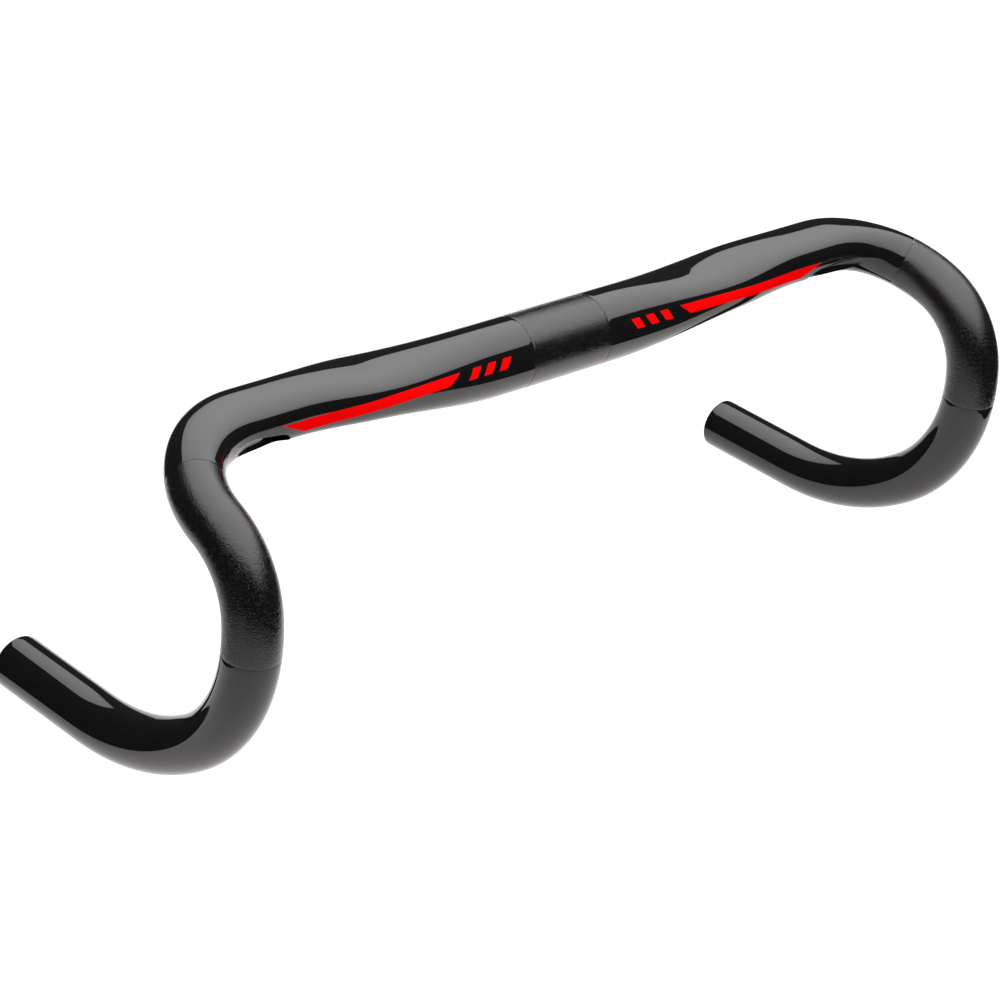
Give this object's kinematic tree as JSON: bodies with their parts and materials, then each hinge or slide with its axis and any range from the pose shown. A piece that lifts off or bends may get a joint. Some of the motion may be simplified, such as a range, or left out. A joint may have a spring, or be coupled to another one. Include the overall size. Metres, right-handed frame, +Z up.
{
  "type": "drop handlebar",
  "caption": "Hollow moulded drop handlebar with a round stem clamp, low aero tops, cable ports in the bends and compact drops.",
  "frame": {"origin": "centre of the round stem clamp, on the bar's centreline", "axes": "+X along the tops to the rider's left, -Y forward, +Z up, with the ends of the drops level and pointing back along +Y"},
  "size_m": [0.4438, 0.1549, 0.1555],
  "materials": {
    "lacquer": "high gloss black clear coat over carbon laminate",
    "grit": "fine rough black anti-slip coat",
    "laminate": "bare moulded carbon laminate",
    "guide": "smooth dark grey liner",
    "red_film": "gloss red film under clear coat"
  },
  "bodies": {
    "root": {"centre_section": "lacquer", "drop_left": "lacquer", "drop_right": "lacquer", "clamp_grip_coat": "grit", "clamp_reinforcement": "laminate", "lever_grip_coat_left": "grit", "lever_grip_coat_right": "grit", "splice_sleeve_left": "laminate", "splice_sleeve_right": "laminate", "front_cable_guide_left": "guide", "rear_cable_guide_left": "guide", "front_cable_guide_right": "guide", "rear_cable_guide_right": "guide", "stripe_left": "red_film", "stripe_right": "red_film", "mark_bar_left_1": "red_film", "mark_bar_left_2": "red_film", "mark_bar_left_3": "red_film", "mark_bar_right_1": "red_film", "mark_bar_right_2": "red_film", "mark_bar_right_3": "red_film"}
  },
  "joints": []
}
